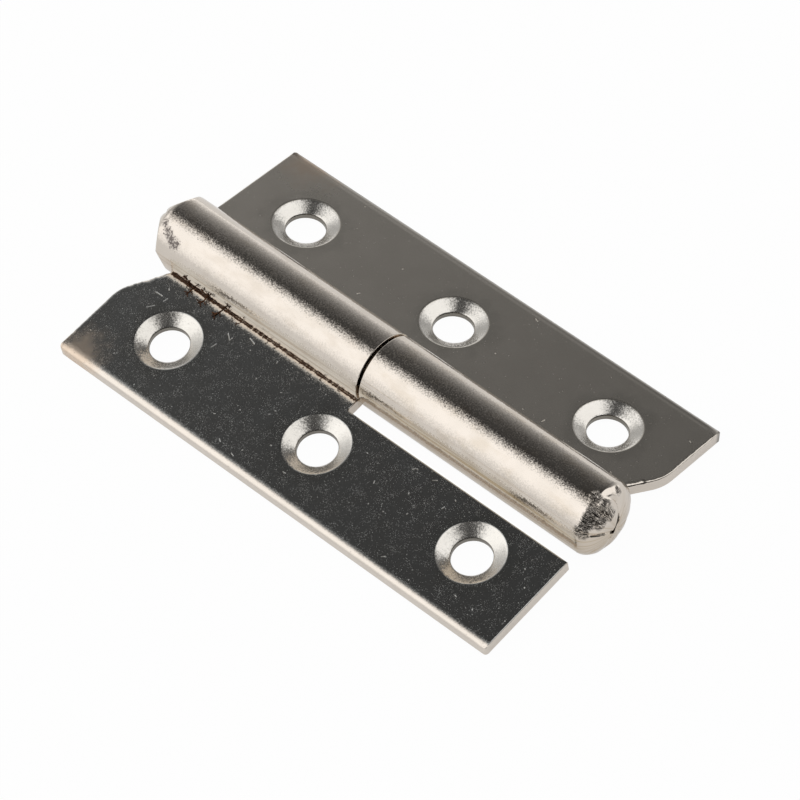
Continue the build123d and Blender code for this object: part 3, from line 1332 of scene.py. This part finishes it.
@dataclass(frozen=True)
class DrawnSteel:
    """Bare drawn steel of the pin, with fine rings from turning in the knuckle and a smear of old grease."""

    name: str = "drawn_steel"
    base: Colour = (0.56, 0.55, 0.53)
    grease_tone: Colour = (0.2, 0.16, 0.11)
    grease_centre: Triple = (0.0, -3.0, 6.0)
    grease_radius: float = 9.0
    grease_ragged: float = 9.0
    grease_strength: float = 0.5
    grain_fineness: float = 5.0
    grain_tilt: float = 0.1
    ring_pitch: Triple = (0.3, 9.0, 0.3)
    drawn_pitch: Triple = (6.0, 0.12, 6.0)
    drawn_rise: Pair = (0.35, 0.65)
    drawn_shade: float = 0.8
    roughness: Pair = (0.2, 0.2)
    mark_depth: float = 0.003

    def material(self, wear: WearGroups) -> bpy.types.Material:
        """Builds the finish with the shared groups of wear.

        Args:
            wear: shared node groups.

        Returns:
            The material.
        """
        result = new_material(self.name)
        sheet = NodeSheet(result.node_tree)
        place = sheet.millimetres()
        grain = sheet.group(wear.grain, Place=place, Fineness=self.grain_fineness, Tilt=self.grain_tilt)
        rings = sheet.noise(sheet.stretch(place, self.ring_pitch), 1.0, 3.0)
        drawn = sheet.noise(sheet.stretch(place, self.drawn_pitch), 1.0)
        smear = {"Centre": self.grease_centre, "Radius": self.grease_radius, "Ragged": self.grease_ragged}
        grease = sheet.group(wear.stain, Place=place, **smear).outputs["Mask"]
        darker = tuple(part * self.drawn_shade for part in self.base)
        tone = sheet.mix(sheet.step(drawn, *self.drawn_rise), self.base, darker)
        tone = sheet.mix(sheet.times(grease, self.grease_strength), tone, self.grease_tone)
        height = sheet.scaled(drawn, self.mark_depth, sheet.times(rings, self.mark_depth))
        bump = {"Height": height, "Normal": grain.outputs["Normal"]}
        sheet.surface(tone, sheet.scaled(rings, *self.roughness), 1.0, bump)
        return result


@dataclass(frozen=True)
class RustCrust:
    """Dry brown rust, blotched from dark to light and rough all over."""

    name: str = "rust_crust"
    dark: Colour = (0.05, 0.02, 0.008)
    light: Colour = (0.15, 0.062, 0.022)
    roughness: float = 0.85
    blotch_fineness: float = 3.0
    blotch_rise: Pair = (0.35, 0.7)
    pit_fineness: float = 12.0
    pit_depth: float = 0.04

    def material(self) -> bpy.types.Material:
        """Builds the finish.

        Returns:
            The material.
        """
        result = new_material(self.name)
        sheet = NodeSheet(result.node_tree)
        place = sheet.millimetres()
        blotch = sheet.step(sheet.noise(place, self.blotch_fineness, 4.0, 0.6), *self.blotch_rise)
        bump = {"Height": sheet.times(sheet.noise(place, self.pit_fineness, 3.0), self.pit_depth)}
        sheet.surface(sheet.mix(blotch, self.dark, self.light), self.roughness, 0.0, bump)
        return result


@dataclass
class RustNodes:
    """Geometry nodes that strew crumbs and branching threads of rust along a path."""

    crumb_shift: Range = ((-0.06, -0.1, -0.03), (0.12, 0.1, 0.01))
    crumb_turn: Range = ((0.0, 0.0, 0.0), (6.3, 6.3, 6.3))
    crumb_scale: Range = ((0.5, 0.4, 0.3), (1.6, 1.1, 0.9))
    spill_shift: Range = ((-0.05, -0.9, 0.0), (0.1, 0.9, 0.02))
    spill_turn: Range = ((0.0, -0.1, -0.8), (0.0, 0.0, 0.8))
    rise_shift: Range = ((0.0, -0.9, 0.0), (0.02, 0.9, 0.1))
    rise_turn: Range = ((-0.8, -0.05, 0.0), (0.8, 0.05, 0.0))
    thread_radius: float = 0.045
    thread_scale: Range = ((0.3, 0.3, 0.7), (0.8, 0.8, 0.8))
    thread_stretch: Pair = (0.1, 0.9)
    branches: tuple[tuple[Pair, Pair, Pair], ...] = (
        ((-0.1, 0.0), (0.55, 0.16), (1.0, -0.04)), ((0.3, 0.06), (0.5, 0.2), (0.55, 0.42)),
        ((0.55, 0.08), (0.75, -0.05), (0.8, -0.3)), ((0.75, 0.05), (0.9, 0.15), (1.02, 0.3)),
    )

    def __post_init__(self) -> None:
        """Builds the tree."""
        inputs = {
            "Path": "Geometry", "Crumbs": "Int", "Crumb Size": "Float", "Threads": "Int",
            "Thread Length": "Float", "Seed": "Int", "Finish": "Material",
        }
        self.sheet, given = new_group("seam_rust", inputs, {"Rust": "Geometry"}, "GeometryNodeTree")
        sheet = self.sheet
        path = sheet.out("GeometryNodeMeshToCurve", "Curve", {"Mesh": given["Path"]})
        ball = {"Radius": given["Crumb Size"], "Subdivisions": 2}
        crumbs = self.strew(
            path, given["Crumbs"], given["Seed"], sheet.out("GeometryNodeMeshIcoSphere", "Mesh", ball),
            self.crumb_shift, self.crumb_turn, self.crumb_scale,
        )
        twig = self.twig(given["Thread Length"])
        upright = {"Geometry": twig, "Rotation": (0.0, -RIGHT_ANGLE, 0.0)}
        climbing = sheet.out("GeometryNodeTransform", "Geometry", upright)
        start, end = self.thread_stretch
        middle = sheet.out("GeometryNodeTrimCurve", "Curve", {"Curve": path, "Start": start, "End": end})
        spilled = self.strew(
            middle, given["Threads"], given["Seed"], twig,
            self.spill_shift, self.spill_turn, self.thread_scale,
        )
        risen = self.strew(
            middle, given["Threads"], sheet.math("ADD", given["Seed"], 7.0), climbing,
            self.rise_shift, self.rise_turn, self.thread_scale,
        )
        rust = sheet.out("GeometryNodeRealizeInstances", "Geometry", {0: self.join(crumbs, spilled, risen)})
        rough = sheet.out("ShaderNodeTexNoise", "Color", {"Scale": 4.0})
        centred = (rough, (0.22, 0.22, 0.1), (-0.11, -0.11, -0.05))
        offset = sheet.vector("MULTIPLY_ADD", "Vector", centred)
        rust = sheet.out("GeometryNodeSetPosition", "Geometry", {"Geometry": rust, "Offset": offset})
        finish = {"Geometry": rust, "Material": given["Finish"]}
        sheet.give(Rust=sheet.out("GeometryNodeSetMaterial", "Geometry", finish))

    def join(self, *pieces: Socket) -> Socket:
        """Adds a join of pieces, in their order.

        Args:
            pieces: their outputs.

        Returns:
            The joined output.
        """
        node = self.sheet.add("GeometryNodeJoinGeometry")
        for piece in pieces:
            self.sheet.feed(node.inputs["Geometry"], piece)
        return node.outputs["Geometry"]

    def twig(self, length: Socket) -> Socket:
        """Adds one thread with three side branches, that runs along X.

        Args:
            length: its length.

        Returns:
            The thread's output.
        """
        sheet = self.sheet
        lines = []
        for points in self.branches:
            bends = {name: (*point, 0.0) for name, point in zip(("Start", "Middle", "End"), points)}
            line = sheet.out("GeometryNodeCurveQuadraticBezier", "Curve", {"Resolution": 6, **bends})
            lines.append(line)
        size = sheet.out("ShaderNodeCombineXYZ", 0, {number: length for number in range(3)})
        stretched = {"Geometry": self.join(*lines), "Scale": size}
        section = {"Resolution": 5, "Radius": self.thread_radius}
        thread = {
            "Curve": sheet.out("GeometryNodeTransform", "Geometry", stretched),
            "Profile Curve": sheet.out("GeometryNodeCurvePrimitiveCircle", "Curve", section),
            "Fill Caps": True,
        }
        return sheet.out("GeometryNodeCurveToMesh", "Mesh", thread)

    def strew(
        self, path: Socket, count: Socket, seed: Socket, piece: Socket, shift: Range, turn: Range, size: Range
    ) -> Socket:
        """Adds copies of a piece along a path.

        Args:
            path: curve to follow.
            count: number of copies.
            seed: number that picks their places.
            piece: shape that is copied.
            shift: least and greatest shift off the path.
            turn: least and greatest turn.
            size: least and greatest scale.

        Returns:
            The copies' output.
        """
        sheet = self.sheet
        points = sheet.out("GeometryNodeResampleCurve", "Curve", {"Curve": path, "Count": count})
        chances = []
        for number, (low, high) in enumerate((shift, turn, size)):
            limits = {0: low, 1: high, "Seed": sheet.math("ADD", seed, float(number))}
            chances.append(sheet.out("FunctionNodeRandomValue", 0, limits, data_type="FLOAT_VECTOR"))
        moved = {"Geometry": points, "Offset": chances[0]}
        taper = sheet.step(sheet.out("GeometryNodeSplineParameter", "Factor"), 0.0, 0.5, 2.1, 0.6)
        patchy = sheet.out("ShaderNodeTexNoise", "Fac", {"Scale": 0.55})
        taper = sheet.times(taper, sheet.step(patchy, 0.3, 0.7, 0.45, 1.5))
        copies = {
            "Points": sheet.out("GeometryNodeSetPosition", "Geometry", moved),
            "Instance": piece,
            "Rotation": chances[1],
            "Scale": sheet.vector("SCALE", "Vector", (chances[2],), Scale=taper),
        }
        return sheet.out("GeometryNodeInstanceOnPoints", "Instances", copies)


@dataclass
class SeamRust:
    """Rust that has broken out of a leaf's seam, as crumbs and thin branching threads."""

    leaf: RolledLeaf
    crumbs: int
    threads: int
    crumb_size: float = 0.05
    thread_length: float = 1.0
    seed: int = 5
    end_margin: float = 0.25

    def build(self, tree: bpy.types.NodeTree, material: bpy.types.Material) -> bpy.types.Object:
        """Makes the rust and lays it in the leaf's seam.

        Args:
            tree: geometry nodes that strew it.
            material: its finish.

        Returns:
            The rust's object.
        """
        leaf = self.leaf
        along = spread(leaf.root_end + self.end_margin, leaf.inner_end - self.end_margin, 40)
        path = bpy.data.meshes.new("seam_path")
        places = [(leaf.seam_reach, y, leaf.upper) for y in along]
        path.from_pydata(places, [(n, n + 1) for n in range(len(places) - 1)], [])
        carrier = add_object("seam_path", path)
        modifier = carrier.modifiers.new("seam_rust", "NODES")
        modifier.node_group = tree
        values = {
            "Crumbs": self.crumbs, "Crumb Size": self.crumb_size, "Threads": self.threads,
            "Thread Length": self.thread_length, "Seed": self.seed, "Finish": material,
        }
        for socket in tree.interface.items_tree:
            if socket.in_out == "INPUT" and socket.name in values:
                modifier[socket.identifier] = values[socket.name]
        graph = bpy.context.evaluated_depsgraph_get()
        mesh = bpy.data.meshes.new_from_object(carrier.evaluated_get(graph), depsgraph=graph)
        bpy.data.objects.remove(carrier)
        mesh.transform(leaf.place())
        piece = add_object("seam_rust_" + leaf.side.name.lower(), mesh, material)
        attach(piece, leaf.side.value)
        return piece


@dataclass
class Studio:
    """Pale table, soft light from the left and a camera at the photograph's viewing angle."""

    camera_place: Triple = (-0.1904354, -0.1935640, 0.3408219)
    camera_forward: Triple = (0.43853463, 0.44132161, -0.78289374)
    camera_roll: float = -3.7904
    lens: float = 187.78
    sensor: float = 36.0
    horizon: float = 0.84
    ceiling: float = 0.014
    fall: float = 21.0
    screen: float = 1.32
    second_screen: float = 1.22
    side_dip: Rise = (0.12, 0.34, 0.85, 0.45)
    side_rise: Rise = (0.34, 0.58, 0.0, 1.36)
    side_top: Rise = (48.0, 66.0)
    gloom: float = 0.06
    behind: tuple[Rise, Rise] = ((0.1, -0.25), (0.05, -0.25))
    front: tuple[Rise, Rise] = ((-0.5, -0.75), (0.65, 0.3))
    screen_edge: Rise = (84.0, 119.0)
    screen_start: Rise = (-0.25, 0.3)
    screen_foot: Rise = (148.0, 190.0)
    screen_foot_share: float = 0.7
    screen_slant: float = 55.0
    slant_middle: float = 0.45
    shade_turn: Rise = (142.0, 165.0)
    shade_along: Rise = (0.48, 0.41, 0.0, 0.16)
    wall_across: Rise = (0.3, -0.25, 0.45, 0.8)
    wall_along: Rise = (0.76, 0.96)
    second_start: tuple[Rise, Rise] = ((-0.02, -0.28), (-0.3, 0.08))
    second_end: Rise = (-0.74, -0.54)
    table_size: float = 3.0
    table_height: float = -2e-5
    table_tone: Colour = (0.95, 0.95, 0.95)
    table_white: float = 0.97
    table_mirrored: float = 0.45
    lamp_place: Triple = (-0.15, 0.1, 0.8)
    lamp_size: float = 0.6
    lamp_energy: float = 1.6

    def build(self) -> None:
        """Makes the camera, the sky, the floor and the lamp."""
        bpy.context.scene.view_settings.view_transform = "Standard"
        self.build_camera()
        self.build_sky()
        self.build_floor()
        self.build_lamp()

    def build_camera(self) -> None:
        """Puts the camera where the photograph was taken from."""
        forward = Vector(self.camera_forward).normalized()
        right = forward.cross(Vector((0, 0, 1))).normalized()
        upward = right.cross(forward)
        roll = math.radians(self.camera_roll)
        across = right * math.cos(roll) + upward * math.sin(roll)
        rise = upward * math.cos(roll) - right * math.sin(roll)
        data = bpy.data.cameras.new("photo_camera")
        data.lens, data.sensor_width = self.lens, self.sensor
        data.clip_start, data.clip_end = 0.01, 20.0
        camera = bpy.data.objects.new("photo_camera", data)
        turn = Matrix((across, rise, -forward)).transposed().to_4x4()
        camera.matrix_world = Matrix.Translation(self.camera_place) @ turn
        bpy.context.scene.collection.objects.link(camera)
        bpy.context.scene.camera = camera

    def build_sky(self) -> None:
        """Lights the hinge with screens at its sides, and leaves the ceiling and the camera's side dark."""
        world = bpy.data.worlds.new("studio")
        bpy.context.scene.world = world
        world.use_nodes = True
        sheet = NodeSheet(world.node_tree)
        across, along, up = sheet.parts(sheet.out("ShaderNodeTexCoord", "Generated"))
        degrees = math.degrees(1)
        # Glow over the horizon, which is uneven along the pin and fades towards the ceiling
        height = sheet.times(sheet.math("ARCSINE", sheet.most(up, 0.0)), degrees)
        glow = sheet.times(sheet.math("EXPONENT", sheet.math("DIVIDE", height, -self.fall)), self.horizon)
        side = sheet.step(along, *self.side_dip)
        side = sheet.math("ADD", side, sheet.step(along, *self.side_rise))
        side = sheet.blend(sheet.step(height, *self.side_top), side, 1.0)
        light = sheet.scaled(glow, side, self.ceiling)
        # Gloom behind the camera
        for on_along, on_across in (self.behind, self.front):
            dark = sheet.times(sheet.step(along, *on_along), sheet.step(across, *on_across))
            light = sheet.blend(dark, light, self.gloom)
        # Large screen on the left, with a slanted edge overhead
        turn = sheet.times(sheet.math("ARCTAN2", up, across), degrees)
        slant = sheet.scaled(along, self.screen_slant, -self.slant_middle * self.screen_slant)
        screen = sheet.step(sheet.math("ADD", turn, slant), *self.screen_edge)
        screen = sheet.times(screen, sheet.step(along, *self.screen_start))
        fade = sheet.times(sheet.step(turn, *self.shade_turn), sheet.step(along, *self.shade_along))
        glow = sheet.step(turn, *self.screen_foot, self.screen, self.screen * self.screen_foot_share)
        light = sheet.blend(screen, light, sheet.times(glow, sheet.math("SUBTRACT", 1.0, fade)))
        # Wall at the far end of the pin, and a second screen on the right
        wall = sheet.step(across, *self.wall_across)
        light = sheet.blend(sheet.step(along, *self.wall_along), light, wall)
        on_along, on_across = self.second_start
        second = sheet.times(sheet.step(along, *on_along), sheet.step(across, *on_across))
        second = sheet.times(second, sheet.step(along, *self.second_end))
        light = sheet.blend(second, light, self.second_screen)
        light = sheet.blend(sheet.out("ShaderNodeLightPath", "Is Camera Ray"), light, 1.0)
        backdrop = {"Color": (1.0, 1.0, 1.0), "Strength": light}
        sky = sheet.out("ShaderNodeBackground", "Background", backdrop)
        sheet.add("ShaderNodeOutputWorld", {"Surface": sky})

    def build_floor(self) -> None:
        """Lays a white table under the hinge that keeps a little of its shadow."""
        size = self.table_size
        corners = ((-size, -size), (size, -size), (size, size), (-size, size))
        mesh = bpy.data.meshes.new("table")
        mesh.from_pydata([(*corner, self.table_height) for corner in corners], [], [(0, 1, 2, 3)])
        paint = new_material("white_table")
        sheet = NodeSheet(paint.node_tree)
        ray = sheet.add("ShaderNodeLightPath").outputs
        across, along, _ = sheet.parts(sheet.out("ShaderNodeTexCoord", "Object"))
        near = sheet.step(sheet.math("ADD", across, along), -0.3, -0.09)
        mirrored = sheet.most(ray["Is Glossy Ray"], ray["Is Transmission Ray"])
        mirrored = sheet.times(mirrored, sheet.times(near, self.table_mirrored))
        mixed = {
            0: sheet.scaled(ray["Is Camera Ray"], self.table_white, mirrored),
            1: sheet.out("ShaderNodeBsdfDiffuse", "BSDF", {"Color": self.table_tone}),
            2: sheet.out("ShaderNodeEmission", "Emission"),
        }
        sheet.add("ShaderNodeOutputMaterial", {"Surface": sheet.out("ShaderNodeMixShader", "Shader", mixed)})
        add_object("table", mesh, paint)

    def build_lamp(self) -> None:
        """Hangs a soft lamp that evens out the light on matt surfaces."""
        data = bpy.data.lights.new("soft_lamp", "AREA")
        data.size, data.energy = self.lamp_size, self.lamp_energy
        lamp = bpy.data.objects.new("soft_lamp", data)
        lamp.visible_glossy = False
        lamp.location = self.lamp_place
        lamp.rotation_euler = (-Vector(self.lamp_place)).to_track_quat("-Z", "Y").to_euler()
        bpy.context.scene.collection.objects.link(lamp)


FIXED_LEAF = RolledLeaf(
    LeafSide.FIXED,
    creases=(Crease(70, 95, 0.3, 0.3), Crease(185, 200, 0.3, 0.3), Crease(300, 270, 0.3, 0.3)),
    facets=(
        Facet(23, 33, (0.555, -0.808, 0.198), 0.68), Facet(352, 13, (0.896, -0.411, -0.158), 0.55),
        Facet(120, 28, (-0.374, -0.744, 0.554), 0.48), Facet(225, 45, (-0.6, -0.6, -0.3), 0.2),
    ),
    scuffs=(
        Scuff((1.9, -29.0, 3.8), 0.8), Scuff((2.2, -28.5, 3.62), 0.85), Scuff((2.5, -28.1, 3.4), 0.95),
        Scuff((2.75, -27.5, 3.2), 1.05), Scuff((2.95, -27.0, 3.1), 1.0),
    ),
    slit_angle=20.0,
    seed=3.7,
)
LIFTING_LEAF = RolledLeaf(
    LeafSide.LIFTING,
    creases=(
        Crease(111, 32, 0.34, 0.36), Crease(163, 166, 0.24, 0.24), Crease(256, 260, 0.22, 0.2),
        Crease(36, 40, 0.1, 0.1), Crease(338, 346, 0.1, 0.08), Crease(215, 222, 0.08, 0.1),
    ),
    facets=(Facet(94, 27, (0.005, -0.55, 0.835), 0.05),),
    scuffs=(
        Scuff((-2.05, -30.44, 3.06), 1.5), Scuff((-3.1, -30.24, 2.35), 1.5),
        Scuff((-3.85, -29.95, 1.4), 1.2), Scuff((-2.2, -30.92, 2.0), 1.2),
        Scuff((-1.2, -30.9, 2.7), 1.25), Scuff((-0.65, -31.15, 2.2), 0.8),
        Scuff((-1.3, -29.4, 4.0), 0.9), Scuff((1.4, -30.1, 3.6), 0.6),
    ),
    slit_angle=60.0,
    tip_shift=(-0.4, 0.0),
    seed=11.3,
)
WORN_NICKEL = NickelPlate(
    "worn_nickel", flat_base=(0.61, 0.61, 0.59), fleck_share=0.6, scratch_share=0.09,
    stain_tone=(0.75, 0.58, 0.43), stain_strength=0.65, stain_radius=4.4,
    scuff_kind=ScuffKind.SPECKS, scuff_shade_tone=(0.1, 0.085, 0.08), scuff_shade_strength=0.9, needle_strength=0.0,
)
CLEAN_NICKEL = NickelPlate(
    "clean_nickel", flat_base=(0.71, 0.66, 0.588), flat_roughness=0.27, grain_fade=(-1.1, 0.4),
    flat_grain=0.06, fleck_share=0.015, scratch_share=0.01, rust_width=0.15, rim_shade_strength=0.75,
    streak_tone=(0.44, 0.33, 0.19),
    stain_centre=(18.4, 27.0, -0.8), stain_tone=(0.5, 0.36, 0.25), stain_strength=0.5,
)


def main() -> None:
    """Builds the scene piece by piece."""
    logging.basicConfig(level=logging.INFO)
    Studio().build()
    wear = WearGroups()
    dressed = ((FIXED_LEAF, WORN_NICKEL), (LIFTING_LEAF, CLEAN_NICKEL))
    pieces = [leaf.build(plate.material(leaf, wear)) for leaf, plate in dressed]
    crust = RustCrust().material()
    tree = RustNodes().sheet.tree
    seams = (SeamRust(FIXED_LEAF, crumbs=460, threads=9), SeamRust(LIFTING_LEAF, crumbs=90, threads=2))
    pieces += [seam.build(tree, crust) for seam in seams]
    pieces.append(HingePin().build(DrawnSteel().material(wear)))
    for piece in pieces:
        log.info("%s: %d faces", piece.name, len(piece.data.polygons))


if __name__ == "__main__":
    main()
